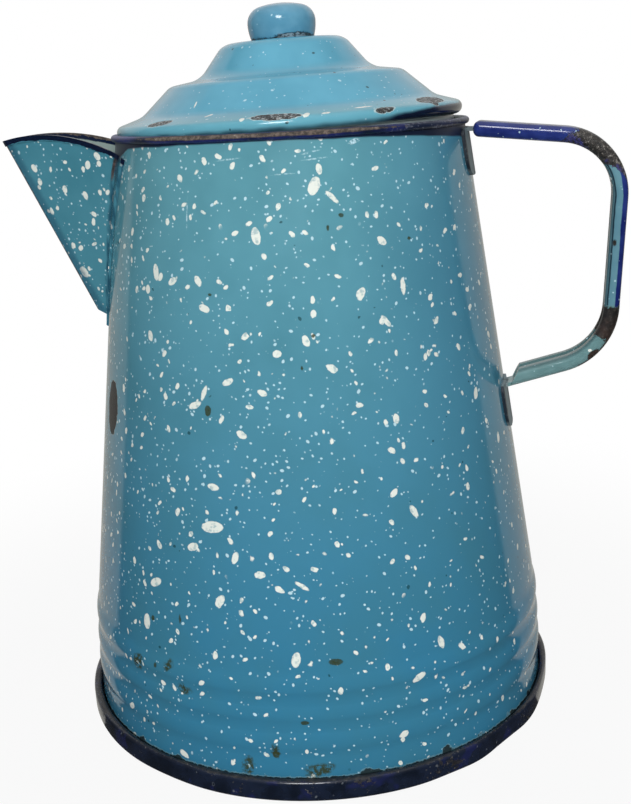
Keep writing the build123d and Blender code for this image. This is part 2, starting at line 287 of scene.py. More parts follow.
# Studio: three soft lamps and a glint, a room that gloss sees in bands, and a pale floor
studioSettings = {
    "key": {"place": (-0.05, -1.6, 0.75), "size": (0.8, 0.7), "power": 24.8, "gloss": False},
    "top": {"place": (0.1, -0.3, 1.5), "size": (0.8, 0.8), "power": 5, "gloss": False},
    "rear": {"place": (0.3, 1.6, 0.8), "size": (1.0, 0.8), "power": 9, "gloss": False},
    "glint": {"place": (-0.16, -0.9, 0.75), "size": (0.3, 0.3), "power": 5, "gloss": True},
    "aim": (0, 0, 0.12),
    "room": 0.02,  # soft light from all round
    "front": (0.05, 0.2, 0.9),  # what gloss sees in front: low, middle and high
    "frontBands": ((-0.1, 0.5), (0.6, 0.95)),
    "back": (0.5, 0.49, 0.45, 1.0),  # and behind, with the sky above it
    "sky": 0.85,
    "horizon": (0.06, 0.34),
    "edge": (0.41, 0.49, 0.06),  # where front turns to back, and how far that leans
    "flank": (75, 40),  # where the flanks of the pot look down at the floor, in mm
    "floor": 1.6,
    "ground": 0.5,
    "clear": (0.12, 0.34),
    "pale": 0.92,
}


def addLamp(name, settings):
    data = bpy.data.lights.new(name, "AREA")
    data.shape = "RECTANGLE"
    data.size, data.size_y = settings["size"]
    data.energy = settings["power"]
    lamp = bpy.data.objects.new(name, data)
    lamp.visible_glossy = settings["gloss"]
    lamp.visible_diffuse = not settings["gloss"]
    place = Vector(settings["place"])
    aim = (Vector(studioSettings["aim"]) - place).to_track_quat("-Z", "Y")
    lamp.matrix_world = Matrix.Translation(place) @ aim.to_matrix().to_4x4()
    bpy.context.scene.collection.objects.link(lamp)


def buildWorld(settings):
    # white behind the pot for the eye and for gloss, plain grey for soft light
    world = bpy.data.worlds.new("studio")
    world.use_nodes = True
    bpy.context.scene.world = world
    room = Graph(world.node_tree)
    rays = room.node("LightPath", output="Is Camera Ray")
    gloss = rays.output("Is Glossy Ray").larger(rays.output("Is Transmission Ray"))
    across, back, up = room.split(room.node("TexCoord", output="Generated"))
    near, far, slant = settings["edge"]
    low, middle, high = settings["front"]
    lowBand, highBand = settings["frontBands"]
    front = room.mix(up.step(*lowBand), grey(low), grey(middle))
    front = room.mix(up.step(*highBand), front, grey(high))
    behind = room.mix(up.step(*settings["horizon"]), settings["back"], grey(settings["sky"]))
    shade = room.mix((back + across * slant).step(near, far), front, behind)
    plain = room.mix(gloss, grey(settings["room"]), shade)
    seen = room.mix(rays, plain, grey(1.0))
    light = room.node("Background", {}, {"Color": seen, "Strength": 1.0})
    room.node("OutputWorld", {}, {"Surface": light})


def buildFloor(settings):
    form = bmesh.new()
    bmesh.ops.create_grid(form, x_segments=2, y_segments=2, size=settings["floor"])
    mesh = bpy.data.meshes.new("floor")
    form.to_mesh(mesh)
    form.free()
    floor = bpy.data.objects.new("floor", mesh)
    bpy.context.scene.collection.objects.link(floor)
    paint = Paint("paleFloor")
    rays = paint.node("LightPath", output="Is Camera Ray")
    gloss = rays.output("Is Glossy Ray")
    low, high = settings["clear"]
    away = paint.radius.step(low / mm, high / mm) * (1 - settings["pale"]) + settings["pale"]
    # what the flanks of the pot mirror: dark in front of them and pale behind them
    side, ahead = settings["flank"]
    near, far, slant = settings["edge"]
    across, back = paint.x.size() - side, paint.y + ahead
    reach = (across * across + back * back).root()
    behind = (back / reach + paint.x / paint.radius * slant).step(near, far)
    mirrored = paint.mix(behind, grey(settings["front"][0]), settings["back"])
    shown = paint.mix(gloss, grey(1.0), mirrored)
    ground = paint.node("BsdfDiffuse", {}, {"Color": grey(settings["ground"])})
    bright = paint.node("Emission", {}, {"Color": shown, "Strength": 1.0})
    both = paint.node("MixShader", {}, {0: (away * rays).larger(gloss), 1: ground, 2: bright})
    paint.node("OutputMaterial", {}, {"Surface": both})
    mesh.materials.append(paint.material)


for lamp in ("key", "top", "rear", "glint"):
    addLamp(lamp + "Lamp", studioSettings[lamp])
buildWorld(studioSettings)
buildFloor(studioSettings)
print("studio built")


# Modelling: a profile is drawn in the plane of X and Z, in millimetres, and turned about the axis.
# Points closer than merge become one, and edges sharper than sharp degrees show as edges.
formSettings = {"merge": 0.002, "sharp": 48}


def drawLine(form, points, start=None):
    corners = [start] if start else []
    corners += [form.verts.new(Vector((radius, 0, height)) * mm) for radius, height in points]
    for first, second in zip(corners, corners[1:]):
        form.edges.new((first, second))
    return corners


def drawArc(form, start, centre, degrees, segments):
    # the line runs on from start, round a centre; positive degrees go up on the outside
    middle = Vector((centre[0], 0, centre[1])) * mm
    turn = {"angle": math.radians(degrees), "steps": segments}
    made = bmesh.ops.spin(form, geom=[start], cent=middle, axis=(0, -1, 0), **turn)
    return next(part for part in made["geom_last"] if isinstance(part, bmesh.types.BMVert))


def roundCorner(form, corner, bend, segments):
    # an arc of that radius in place of a corner of the line
    first, second = (edge.other_vert(corner).co - corner.co for edge in corner.link_edges)
    half = (math.pi - first.angle(second)) / 2
    how = {"offset_type": "OFFSET", "affect": "VERTICES", "profile": 0.5, "material": -1}
    offset = bend * mm * math.tan(half)
    bmesh.ops.bevel(form, geom=[corner], offset=offset, segments=segments, **how)


def turnRound(form, steps):
    turn = {"cent": (0, 0, 0), "axis": upright, "angle": 2 * math.pi, "use_merge": True}
    bmesh.ops.spin(form, geom=form.verts[:] + form.edges[:], steps=steps, **turn)
    bmesh.ops.remove_doubles(form, verts=form.verts, dist=formSettings["merge"] * mm)
    bmesh.ops.recalc_face_normals(form, faces=form.faces)


def thicken(form, sheet):
    # the sheet's other face, on the inside
    bmesh.ops.solidify(form, geom=form.faces[:], thickness=sheet * mm)


def makePiece(name, form, body, nodes, material):
    for face in form.faces:
        face.smooth = True
    mesh = bpy.data.meshes.new(name)
    form.to_mesh(mesh)
    form.free()
    mesh.set_sharp_from_angle(angle=math.radians(formSettings["sharp"]))
    mesh.materials.append(material)
    piece = bpy.data.objects.new(name, mesh)
    bpy.context.scene.collection.objects.link(piece)
    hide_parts(*nodes)
    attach(piece, body)
    print(name, "has", len(mesh.polygons), "faces")


# Body: a tapered sheet wall with three pressed ribs and a rolled rim
bodySettings = {
    "sheet": 1.0,
    "foot": (86.8, 1.05),
    "shoulder": (84.3, 45.0),
    "shoulderTop": (84.05, 47.0),
    "mouth": (61.2, 212.0),
    "taper": -0.13832,  # change of radius with height above the shoulder
    "ribs": (20.0, 29.5, 39.0),
    "ribReach": 4.75,
    "ribProud": 1.3,
    "ribBend": 11.0,
    "ribSegments": 5,
    "rimReach": 61.6,
    "rimRadius": 1.2,
    "rimSegments": 24,
    "wallRows": 28,
    "steps": 288,
}

# Glazes as they show on a screen; the shader gets them in linear numbers
enamelColours = {
    # high and low: the glaze at the top and at the foot; the paler top is painted sheen and the
    # darker foot painted shade
    "high": screen(99, 160, 173),
    "low": screen(53, 124, 157),
    "cloud": screen(64, 122, 136),
    "navy": screen(10, 24, 50),
    "cobalt": screen(30, 38, 112),
    "spot": screen(196, 228, 238),
    "cream": screen(232, 238, 230),
    "veil": screen(146, 182, 188),
    "pit": screen(22, 58, 60),
    "stain": screen(56, 66, 40),
    "inside": screen(158, 170, 166),
}

# Bare iron in three shades, as it shows in chips and on the rubbed rim
chipShades = (screen(26, 26, 26), screen(54, 51, 48), screen(132, 128, 122))
rimShades = (screen(60, 54, 50), screen(108, 96, 88), screen(156, 146, 138))

# The largest drips of white: azimuth, height, half length, half width, tilt
bodyDrips = (
    (-84.4, 196.6, 3.0, 1.9, 55), (-100.9, 182.6, 2.7, 1.6, 100), (-114.6, 91.1, 3.8, 1.9, 6),
    (-95.4, 48.7, 2.6, 1.3, 80), (-133.1, 171.0, 2.7, 1.4, 101), (-136.5, 165.3, 1.5, 1.2, 92),
    (-131.6, 68.4, 2.7, 1.4, 31), (-134.6, 53.5, 2.7, 1.5, 91), (-119.2, 130.0, 2.5, 1.1, 23),
    (-120.0, 83.6, 2.0, 1.3, 23), (-68.1, 37.6, 2.3, 1.2, 33), (-61.3, 163.9, 2.7, 1.0, 89),
    (-112.8, 66.9, 2.3, 1.3, 63), (-79.6, 193.0, 2.8, 0.8, 140), (-89.1, 150.3, 1.9, 1.2, 114),
    (-65.1, 92.4, 2.4, 1.0, 118), (-82.7, 201.5, 1.7, 1.1, 102), (-109.7, 138.0, 2.1, 1.0, 23),
    (-114.2, 104.2, 2.0, 1.1, 170), (-108.8, 81.7, 2.1, 1.0, 71), (-67.5, 153.9, 2.4, 0.9, 132),
    (-116.5, 134.1, 2.6, 0.8, 68), (-102.9, 76.6, 1.7, 1.2, 2), (-96.6, 146.7, 1.5, 1.2, 0),
    (-93.3, 73.0, 2.4, 0.7, 144), (-69.9, 99.6, 1.6, 1.0, 51), (-61.5, 46.9, 2.3, 1.0, 105),
)

# Pinholes and rust in the glaze, and its stains near the foot
bodyPits = (
    (-115.4, 128.5, 1.7, 1.1, 89), (-86.7, 47.4, 2.0, 1.1, -5), (-123.8, 58.2, 1.4, 0.4, 90),
    (-94.2, 27.1, 1.2, 0.8, 0), (-132.5, 55.5, 1.0, 0.7, 91), (-81.4, 183.9, 0.9, 0.5, 86),
    (-77.5, 187.4, 0.9, 0.6, 0), (-131.2, 39.5, 0.9, 0.6, 86), (-90.5, 142.1, 0.7, 0.4, 87),
    (-101.0, 15.4, 1.4, 1.0, 87), (-57.6, 178.3, 0.8, 0.5, 0), (-87.2, 151.7, 0.7, 0.5, 0),
    (-114.4, 164.9, 0.7, 0.5, 0),
)
# Fine scratches, and a streak where a drip has run
bodyScratches = (
    (-84.6, 206.6, 3.9, 0.32, 8), (-108.5, 205.6, 5.0, 0.3, 4), (-83.5, 204.6, 5.6, 0.26, 3),
    (-92.6, 200.6, 5.2, 0.26, 1), (-121.6, 189.0, 6.0, 0.34, 88), (-71.8, 209.0, 3.0, 0.8, 14),
)
bodyStains = (
    (-137.6, 37.8, 3.0, 1.8, 70), (-122.8, 34.2, 2.4, 1.6, 0), (-107.6, 10.5, 3.0, 1.6, 80),
    (-101.2, 16.8, 2.0, 1.4, 90), (-91.5, 9.7, 4.0, 2.2, 10), (-127.0, 41.0, 2.0, 1.2, 60),
)
bodyChips = ((-156.5, 121.5, 9.8, 5.6, 89),)

# Four sizes of white spots: cell, radius, share of the cells that hold one, stretch, seed
spatterSizes = (
    (1.9, 0.30, 0.54, 1.25, 1.0), (2.8, 0.44, 0.6, 1.4, 2.0),
    (4.4, 0.72, 0.76, 1.6, 3.0), (9.6, 1.05, 0.7, 1.7, 4.0),
)

# Heights, reaches and azimuths at which the body's glaze changes
bodyLook = {
    "girth": 75,  # the reach at which the ovals are laid out
    # heights over which the painted light goes from shade at the foot to sheen at the top
    "paintedLightFade": (20, 240),
    # where the right flank turns deeper blue, and that blue: painted shade
    "paintedFlankShade": ((8, 64), (60, 170), screen(62, 128, 162)),
    "veil": (7.5, 7.1),
    "joint": (7.1, 6.7, screen(30, 36, 34)),
    "front": -1.75,
    "band": (210.2, 210.9),
    "bandMost": 5.5,
    "beadReach": (60.0, 60.2),
    "beadFoot": (210.5, 210.8),
    "right": (-1.3, -0.8),
    "held": (0.5, 0.85),
    "crown": 212.4,
    "flecks": screen(140, 146, 160),
    "gloss": 0.09,
}


def spatter(paint, share):
    # white spots: fine ones and then large ones
    fine, loose = paint.warped(0.9, 0.14), paint.warped(2.2, 0.55)
    layers = []
    for where, size in zip((fine, fine, loose, loose), spatterSizes):
        cell, radius, part, stretch, seed = size
        layers.append(paint.spots(where, cell, radius, share * part, stretch, seed))
    dust, small, middle, large = layers
    return dust.larger(small), middle.larger(large)


def spotted(paint, glaze, colours, little, big):
    # small spots are bluish, and large ones creamy with thin places
    thin = paint.noise(1.7, 2, 0.6)
    glaze = paint.mix(little * 0.9, glaze, colours["spot"])
    cream = paint.mix(thin.step(0.50, 0.70) * 0.7, colours["cream"], colours["veil"])
    return paint.mix(big, glaze, cream)


def liningGlaze(paint, cloud, colours):
    return paint.mix(cloud.step(0.4, 0.6) * 0.5, colours["inside"], colours["veil"])


def wornEdge(paint, depth, grain, shades, halo):
    # bare iron where depth is above 0, and broken glaze round it; gives how bare each place is
    iron = paint.mix(grain.step(0.40, 0.58), shades[0], shades[1])
    iron = paint.mix(grain.step(0.60, 0.72), iron, shades[2])
    iron = paint.mix(depth.step(0.5, 0.15) * 0.65, iron, shades[0])
    paint.lay(depth.step(-0.22, 0.0) * 0.5, halo)
    paint.lay(depth.step(0.0, 0.16), iron)
    return depth.step(0.0, 0.2)


def bodyEnamel(colours, look):
    paint = Paint("bodyEnamel")
    cloud = paint.noise(34, 3, 0.6)
    grain = paint.noise(1.3, 4, 0.7)
    drift = paint.noise(11, 2, 0.5)
    girth = paint.azimuth * look["girth"]

    def ovals(places, size, push, seed=(0.0, 0.0, 0.0)):
        flat = unrolled(places, look["girth"])
        return paint.marks(flat, girth, paint.z, size, push, seed)

    # darker towards the foot and paler towards the top: painted shade low down and painted sheen
    # high up
    paint.colour = paint.mix(paint.z.step(*look["paintedLightFade"]), colours["low"], colours["high"])
    paint.lay((cloud - 0.42) * 1.3, colours["cloud"])
    # the right flank is deeper blue: painted shade where the wall turns away from the light
    across, up, paintedFlankShade = look["paintedFlankShade"]
    paint.lay(paint.x.step(*across) * paint.z.step(*up) * 0.6, paintedFlankShade)
    share = paint.z.step(0, 190) * 0.2 + cloud * 0.5 + 0.62 - paint.x * 0.0025
    little, big = spatter(paint, share)
    big = big.larger(ovals(bodyDrips, 1.6, 0.34).step(-0.1, 0.12))
    scratches = ovals(bodyScratches, 1.2, 0.2, (30.0, 0.0, 0.0)).step(-0.05, 0.2)
    paint.lay(scratches * grain.step(0.4, 0.6), colours["spot"])
    paint.colour = spotted(paint, paint.colour, colours, little, big)
    pits = paint.spots(paint.warped(1.4, 0.4), 7.5, 0.45, 0.5, 1.3, 7.0)
    paint.lay(pits * 0.7, colours["pit"])
    rusty = ovals(bodyPits, 1.3, 0.4, (9.0, 0.0, 0.0)).step(-0.15, 0.15)
    paint.lay(rusty * (0.55 + grain * 0.7), colours["stain"])
    stains = ovals(bodyStains, 5.0, 2.4, (0.0, 30.0, 0.0)).step(-0.6, 0.5)
    stains = stains * grain.step(0.38, 0.54)
    paint.lay(stains * 0.95, colours["stain"])
    # dark blotches where the wall stands in the foot ring, and a pale broken line along the ring's
    # top that is a painted highlight
    blot = (drift - 0.56).larger(0.0) * 22 + (grain - 0.5) * 2.6
    low, high, dark = look["joint"]
    paint.lay((paint.z - blot).step(*look["veil"]) * 0.4, colours["veil"])
    paint.lay((paint.z - blot).step(low, high) * 0.92, dark)
    chips = ovals(bodyChips, 2.6, 1.5, (0.0, 0.0, 40.0))
    chipped = wornEdge(paint, chips, grain - 0.2, chipShades, colours["veil"])
    # the navy band under the rim, broader beside the spout and towards the handle, where its extra
    # width is also painted shade under the rim
    turn = paint.azimuth - look["front"]
    broad = (turn * turn * 2.0).larger((turn + 0.8) * -20).smaller(look["bandMost"])
    band = (paint.z + drift - 0.5 + broad).step(*look["band"])
    paint.lay(band, colours["navy"])
    # the rolled rim: brown iron in front, cobalt to the left, and speckled navy to the right
    bead = paint.radius.step(*look["beadReach"]) * paint.z.step(*look["beadFoot"])
    right = paint.azimuth.step(*look["right"])
    cobalt = bead * drift.step(0.35, 0.6) * (0.7 - right * 0.45)
    paint.lay(cobalt, colours["cobalt"])
    flecks = grain.step(0.55, 0.61) * bead * (right * 0.5 + 0.1)
    paint.lay(flecks, look["flecks"])
    held = turn.size().step(*look["held"])
    rubbed = 0.95 - (paint.z - look["crown"]).size() * 1.5
    rubbed = rubbed + (drift - 0.45) * 1.2 - held * (3.0 - grain * 3.4) + (grain - 0.5) * 0.9
    rubbed = rubbed * bead - (1 - bead)
    bare = wornEdge(paint, rubbed, grain, rimShades, colours["navy"]).larger(chipped)
    # the lining is pale grey
    lining = paint.dot(paint.normal, paint.outward).step(-0.2, -0.4)
    lining = lining * paint.radius.step(61.2, 60.2).larger(paint.z.step(210, 205))
    pale = spotted(paint, liningGlaze(paint, cloud, colours), colours, little * 0.6, big * 0.5)
    paint.lay(lining, pale)
    rough = bare * 0.36 + look["gloss"] + stains * 0.15 + band * 0.3
    height = paint.noise(4.2, 1) * 0.02 + paint.noise(30, 1) * 0.22 - rusty * 0.05
    height = height - bare * (0.12 - (grain - 0.5) * 0.22)
    return paint.finish(rough, height)


# Strainer holes behind the spout: rows of odd and even counts in turn
strainerSettings = {
    "hole": 3.8,
    "pitch": 6.2,
    "rowPitch": 5.6,
    "top": 200.5,
    "foot": 155.2,
    "margin": 2.6,
    "spread": 0.5566,  # half width of the spout's inside for each mm of its depth
    "room": (41.576, 0.5705),  # that depth at the rim, and what each mm below the rim takes off
    "pin": 12,
    "segments": 20,
}


def coneRadius(height):
    # outside of the straight wall at a height, given as a number or as a wire
    mouth = bodySettings["mouth"]
    return (height - mouth[1]) * bodySettings["taper"] + mouth[0]


def strainerPlaces(settings):
    room, narrowing = settings["room"]
    height, row = settings["top"], 0
    while height > settings["foot"]:
        opening = settings["spread"] * (room - (bodySettings["mouth"][1] - height) * narrowing)
        offset = (row % 2) * settings["pitch"] / 2
        while offset <= opening - settings["margin"]:
            yield offset, height
            if offset:
                yield -offset, height
            offset += settings["pitch"]
        height -= settings["rowPitch"]
        row += 1


def drill(form, cutter):
    # the form less the cutter, both of them closed
    blanks = []
    for part in (form, cutter):
        mesh = bpy.data.meshes.new("blank")
        part.to_mesh(mesh)
        part.free()
        blanks.append(bpy.data.objects.new("blank", mesh))
        bpy.context.scene.collection.objects.link(blanks[-1])
    cut = blanks[0].modifiers.new("cut", "BOOLEAN")
    cut.operation = "DIFFERENCE"
    cut.solver = "EXACT"
    cut.object = blanks[1]
    done = bmesh.new()
    done.from_object(blanks[0], bpy.context.evaluated_depsgraph_get())
    for blank in blanks:
        bpy.data.meshes.remove(blank.data)
    return done


def strainerPins(settings):
    pins = bmesh.new()
    level = Matrix.Rotation(math.pi / 2, 4, "Y")
    radius = settings["hole"] / 2 * mm
    shape = {"radius1": radius, "radius2": radius, "depth": settings["pin"] * mm}
    shape["segments"] = settings["segments"]
    for offset, height in strainerPlaces(settings):
        place = Vector((-coneRadius(height), offset, height)) * mm
        matrix = Matrix.Translation(place) @ level
        bmesh.ops.create_cone(pins, cap_ends=True, matrix=matrix, **shape)
    return pins


def skirtRadius(settings, height):
    low, high = settings["foot"], settings["shoulder"]
    return high[0] + (low[0] - high[0]) * (high[1] - height) / (high[1] - low[1])


def buildBody(settings, material):
    form = bmesh.new()
    reach = settings["ribReach"]
    points = [settings["foot"]]
    heights = [settings["ribs"][0] - reach]
    for rib in settings["ribs"]:
        heights += [rib, rib + reach]
    for number, height in enumerate(heights):
        proud = settings["ribProud"] * (number % 2)
        points.append((skirtRadius(settings, height) + proud, height))
    points += [settings["shoulderTop"], settings["mouth"]]
    corners = drawLine(form, points)
    wall = corners[-1].link_edges[0]
    for corner in corners[1:-2]:
        roundCorner(form, corner, settings["ribBend"], settings["ribSegments"])
    bmesh.ops.subdivide_edges(form, edges=[wall], cuts=settings["wallRows"])
    turnRound(form, settings["steps"])
    thicken(form, settings["sheet"])
    form = drill(form, strainerPins(strainerSettings))
    bead = bmesh.new()
    middle = Vector((settings["rimReach"], 0, settings["mouth"][1])) * mm
    place = Matrix.Translation(middle) @ Matrix.Rotation(math.pi / 2, 4, "X")
    radius, segments = settings["rimRadius"] * mm, settings["rimSegments"]
    bmesh.ops.create_circle(bead, segments=segments, radius=radius, matrix=place)
    turnRound(bead, settings["steps"])
    rolled = bpy.data.meshes.new("rolledRim")
    bead.to_mesh(rolled)
    bead.free()
    form.from_mesh(rolled)
    bpy.data.meshes.remove(rolled)
    makePiece("potBody", form, "pot", ["pot_body"], material)


buildBody(bodySettings, bodyEnamel(enamelColours, bodyLook))
print("body done")


# Foot: the base plate, whose edge is hemmed round the foot of the wall
footSettings = {
    "reach": 89.99,
    "corner": 1.2,
    "fold": (88.425, 6.025),
    "foldSegments": 10,
    "inside": 86.85,
    "leafFoot": 2.0,
    "sheet": 1.0,
    "steps": 288,
    "skin": (88.15, 1.2),  # the reach past which a dent pushes, and how soon it pushes fully
}

# Blows have pushed the outer skin in: azimuth and spread in degrees, depth
footDents = (
    (-44.0, 7.0, 1.5), (-20.0, 12.0, 1.1), (-62.0, 5.0, 0.5), (-128.0, 9.0, 0.5), (75.0, 9.0, 0.8),
)


footLook = {
    "glazes": (screen(14, 22, 36), screen(24, 33, 52)),
    "blue": screen(30, 36, 84),
    "ringed": screen(126, 132, 138),
    "iron": (screen(20, 20, 21), screen(48, 46, 44), screen(132, 128, 122)),
    "top": 7.3,
    "heel": 0.7,
    "gloss": 0.16,
}


def footEnamel(look):
    paint = Paint("footEnamel")
    drift = paint.noise(13, 3, 0.6)
    grain = paint.noise(1.5, 4, 0.7)
    paint.colour = paint.mix(drift.step(0.4, 0.6), *look["glazes"])
    paint.lay(paint.noise(9, 2, 0.5).step(0.56, 0.64) * 0.6, look["blue"])
    rings = paint.spots(paint.warped(1.4, 0.3), 5.5, 0.9, 0.45, 1.2, 3.0)
    pale = paint.spots(paint.warped(1.4, 0.3), 3.4, 0.36, 0.35, 1.4, 6.0)
    paint.lay((rings - rings * rings) * 1.8 + pale * 0.5, look["ringed"])
    top = paint.z - look["top"] + (drift - 0.5) * 2.4 + (grain - 0.5) * 2.0
    heel = look["heel"] - paint.z + (grain - 0.5) * 2.2
    patch = (drift * 0.6 + grain * 0.4 - 0.6) * 9
    iron = paint.mix(grain.step(0.4, 0.65), *look["iron"][:2])
    iron = paint.mix(grain.step(0.62, 0.70), iron, look["iron"][2])
    bare = top.larger(heel).larger(patch).step(0.0, 0.25)
    paint.lay(bare * 0.85, iron)
    height = paint.noise(4.2, 2) * 0.05 - bare * (0.08 - (grain - 0.5) * 0.25)
    return paint.finish(look["gloss"] + bare * 0.3, height)


def dentRing(form, dents, skin):
    start, soft = skin
    for vert in form.verts:
        reach = math.hypot(vert.co.x, vert.co.y) / mm
        share = min(1.0, (reach - start) / soft)
        if share > 0:
            azimuth = math.degrees(math.atan2(vert.co.y, vert.co.x))
            push = 0
            for middle, spread, depth in dents:
                push += depth * math.exp(-(((azimuth - middle) / spread) ** 2))
            scale = 1 - share * push / reach
            vert.co.x *= scale
            vert.co.y *= scale


def buildFoot(settings, material):
    form = bmesh.new()
    fold = settings["fold"]
    corners = drawLine(form, [(0, 0), (settings["reach"], 0), (settings["reach"], fold[1])])
    end = drawArc(form, corners[-1], fold, 180, settings["foldSegments"])
    drawLine(form, [(settings["inside"], settings["leafFoot"])], end)
    roundCorner(form, corners[1], settings["corner"], 4)
    turnRound(form, settings["steps"])
    thicken(form, settings["sheet"])
    dentRing(form, footDents, settings["skin"])
    makePiece("footRing", form, "pot", ["base_plate"], material)


buildFoot(footSettings, footEnamel(footLook))
print("foot done")


# Lid: a stepped dome with a rolled brim, a little cocked on the worn rim
lidSettings = {
    "brim": 213.6,
    "rollReach": 58.1,
    "roll": 2.4,
    "rollTurn": 165.0,
    "lip": 57.5,
    "corners": ((51.3, 4.6), (40.6, 14.0), (30.0, 15.6), (21.0, 26.6), (2.05, 26.6)),
    "bends": (8.0, 5.0, 8.0, 6.0),
    "sheet": 0.9,
    "rollSegments": 12,
    "bendSegments": 7,
    "lean": 1.5,
    "leanLine": (-61.6, 0.0, 212.0),
    "slant": 1.27,  # the way in over the brim for each mm that radius and height change together
    "steps": 256,
}

knobSettings = {
    "foot": 10.7,
    "turnIn": 7.7,
    "side": ((-4.042, 5.8), 21.48, 6),  # arcs: centre, degrees, segments
    "shoulder": ((6.2, 5.8), 75.3, 10),
    "top": ((0.0, -17.83), 14.7, 6),
    "sheet": 0.8,
    "steps": 96,
}


# Chips round the brim: azimuth, distance in from the edge, half length, half width, tilt
lidChips = (
    (-94.2, 3.6, 8.0, 2.3, -3), (-34.5, 5.8, 8.8, 3.2, 4), (-37.5, 4.2, 3.0, 2.4, 80),
    (-136.0, 4.6, 5.0, 2.4, 10), (-60.3, 2.0, 3.8, 1.3, 8), (62.0, 4.0, 4.0, 1.6, 10),
    (118.0, 2.6, 5.5, 1.4, -6), (20.0, 6.0, 2.0, 1.0, 30),
)
lidDrips = (
    (-66.0, 5.3, 3.2, 0.5, 3), (-79.0, 3.0, 1.4, 0.6, 10), (-118.0, 9.0, 1.5, 0.6, 40),
    (-84.9, 3.0, 1.6, 0.9, 60), (-104.2, 3.2, 1.2, 0.8, 90), (-128.0, 16.0, 1.6, 0.4, 100),
)


lidLook = {
    "girth": 58,
    "glazes": (screen(82, 160, 187), screen(92, 170, 197)),
    "brim": ((12, 3), screen(108, 170, 183)),
    "iron": (screen(26, 28, 29), screen(70, 68, 65), screen(172, 169, 164)),
    "flecks": screen(196, 204, 206),
    "gloss": 0.13,
}


def lidEnamel(colours, settings, look):
    paint = Paint("lidEnamel", settings)
    cloud = paint.noise(26, 3, 0.6)
    grain = paint.noise(1.2, 4, 0.7)
    drift = paint.noise(9, 2, 0.5)
    inward = settings["rollReach"] + settings["roll"] - paint.radius
    inward = (inward + paint.z - settings["brim"]) / settings["slant"]
    girth = paint.azimuth * look["girth"]
    paint.colour = paint.patchy(cloud, *look["glazes"])
    brim, brimGlaze = look["brim"]
    paint.lay(inward.step(*brim) * 0.6, brimGlaze)
    place = paint.warped(0.9, 0.14)
    dust = paint.spots(place, 2.2, 0.26, 0.75, 1.2, 1.0)
    small = paint.spots(place, 4.2, 0.38, 0.7, 1.5, 2.0)
    drips = paint.marks(unrolled(lidDrips, look["girth"]), girth, inward, 1.6, 0.2)
    fine, drips = dust.larger(small) * 0.75, drips.step(-0.1, 0.12)
    paint.colour = spotted(paint, paint.colour, colours, fine, drips)
    pits = paint.spots(place, 5.2, 0.4, 0.6, 1.3, 7.0)
    paint.lay(pits * 0.85, colours["pit"])
    # the edge is navy towards the handle; elsewhere only a thin dark line under the roll, which is
    # painted shade
    right = paint.azimuth.step(-1.15, -0.6) * paint.azimuth.step(1.6, 1.0)
    edge = inward + (drift - 0.5) * 1.2 - right * 2.0 + 0.3
    paint.lay(edge.step(0.3, -0.9), colours["navy"])
    chips = unrolled(lidChips, look["girth"])
    chips = paint.marks(chips, girth, inward, 2.2, 0.9, (0.0, 20.0, 0.0))
    bare = wornEdge(paint, chips, grain * 1.7 - 0.4, look["iron"], colours["cream"])
    flecks = paint.noise(0.9, 2, 0.6).step(0.54, 0.60) * chips.step(0.15, 0.5)
    paint.lay(flecks * 0.7, look["flecks"])
    # pale underneath, like the lining of the body
    under = paint.split(paint.normal)[2].step(-0.05, -0.3) * paint.radius.step(60.0, 58.6)
    paint.lay(under, liningGlaze(paint, cloud, colours))
    bare = bare * (1 - under)
    height = paint.noise(4.0, 1) * 0.02 + paint.noise(22, 1) * 0.15
    height = height - bare * (0.2 - (grain - 0.5) * 0.3)
    return paint.finish(look["gloss"] + bare * 0.36, height)


def knobStand(lid):
    # the height of the flat crown that the knob stands on
    return lid["brim"] + lid["corners"][-1][1]


knobLook = {
    "glazes": (screen(90, 150, 178), screen(102, 160, 187)),
    "shade": screen(34, 70, 96),
    "flake": screen(150, 172, 184),
    "seam": 0.75,
    "gloss": 0.12,
}


def knobEnamel(colours, lid, look):
    paint = Paint("knobEnamel", lid)
    grain = paint.noise(1.1, 4, 0.7)
    drift = paint.noise(5, 2, 0.5)
    paint.colour = paint.mix(drift.step(0.35, 0.7), *look["glazes"])
    dust = paint.spots(paint.warped(0.8, 0.12), 2.4, 0.28, 0.55, 1.3, 1.0)
    paint.lay(dust * 0.8, colours["spot"])
    # chipped all round its foot, and most of all in front
    chipped = (paint.azimuth + 1.2).size().step(0.7, 0.2)
    seam = knobStand(lid) + look["seam"] - paint.z + (drift - 0.5) * 2.6
    seam = seam + (grain - 0.5) * 1.8 + chipped * 1.1
    # painted shade round the knob's foot, next to the chipped seam
    paint.lay(seam.step(-0.6, 0.0) * 0.6, look["shade"])
    bare = wornEdge(paint, seam, grain + chipped * 0.1 - 0.06, chipShades, colours["pit"])
    flake = seam.step(0.1, 0.4) * chipped * grain.step(0.44, 0.52)
    paint.lay(flake * 0.8, look["flake"])
    height = paint.noise(3.0, 1) * 0.03 - bare * (0.12 - (grain - 0.5) * 0.2)
    return paint.finish(look["gloss"] + bare * 0.35, height)


# Collar and knob base: pale glaze, rubbed bare along the collar's lower edge
collarLook = {
    "glazes": (screen(186, 198, 200), screen(168, 182, 184)),
    "edge": 203.2,
    "gloss": 0.18,
}


